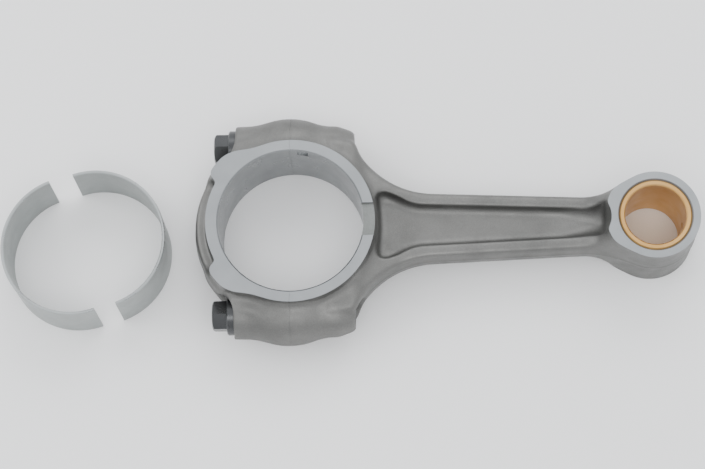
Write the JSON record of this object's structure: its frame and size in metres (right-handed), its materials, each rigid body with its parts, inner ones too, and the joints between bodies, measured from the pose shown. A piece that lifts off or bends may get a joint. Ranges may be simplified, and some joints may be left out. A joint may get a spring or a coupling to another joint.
{
  "type": "connecting rod",
  "caption": "Forged I-beam connecting rod with a bolted fracture-split cap, a bronze small-end bush and two loose bearing shells.",
  "frame": {"origin": "centre of the big-end bore at mid thickness", "axes": "+X along the rod to the small end, +Z along the axis of both bores, +Y to the side whose bore wall has the tang slot"},
  "size_m": [0.3223, 0.1098, 0.0364],
  "materials": {
    "forged_steel": "shot-blasted forging with ground thrust faces and honed bores",
    "black_steel": "black oxide",
    "bronze": "bored and reamed bronze",
    "shell_steel": "matt tin-flashed steel-backed shell"
  },
  "bodies": {
    "rod": {"rod_body": "forged_steel", "small_end_bush": "bronze"},
    "cap": {"big_end_cap": "forged_steel"},
    "upper_washer": {"upper_bolt_washer": "black_steel"},
    "upper_bolt": {"upper_cap_bolt": "black_steel"},
    "lower_washer": {"lower_bolt_washer": "black_steel"},
    "lower_bolt": {"lower_cap_bolt": "black_steel"},
    "rod_shell": {"rod_bearing_shell": "shell_steel"},
    "cap_shell": {"cap_bearing_shell": "shell_steel"}
  },
  "joints": [
    {"name": "cap_release", "type": "slide", "parent": "rod", "child": "cap", "axis": [-1, 0, 0], "range_m": [0, 0.011]},
    {"name": "upper_bolt_draw", "type": "slide", "parent": "cap", "child": "upper_washer", "axis": [-1, 0, 0], "range_m": [0, 0.025]},
    {"name": "upper_bolt_turn", "type": "hinge", "parent": "upper_washer", "child": "upper_bolt", "pos_m": [-0.0299, 0.0405, 0], "axis": [-1, 0, 0], "range_deg": [0, 7200]},
    {"name": "lower_bolt_draw", "type": "slide", "parent": "cap", "child": "lower_washer", "axis": [-1, 0, 0], "range_m": [0, 0.025]},
    {"name": "lower_bolt_turn", "type": "hinge", "parent": "lower_washer", "child": "lower_bolt", "pos_m": [-0.0299, -0.0405, 0], "axis": [-1, 0, 0], "range_deg": [0, 7200]},
    {"name": "rod_shell_lift", "type": "slide", "parent": "rod", "child": "rod_shell", "axis": [0, 0, 1], "range_m": [0, 0.06]},
    {"name": "cap_shell_lift", "type": "slide", "parent": "rod", "child": "cap_shell", "axis": [0, 0, 1], "range_m": [0, 0.06]}
  ],
  "couplings": [
    {"joint": "upper_bolt_turn", "follows": "upper_bolt_draw", "rad_per_m": 5026.5},
    {"joint": "lower_bolt_turn", "follows": "lower_bolt_draw", "rad_per_m": 5026.5}
  ]
}
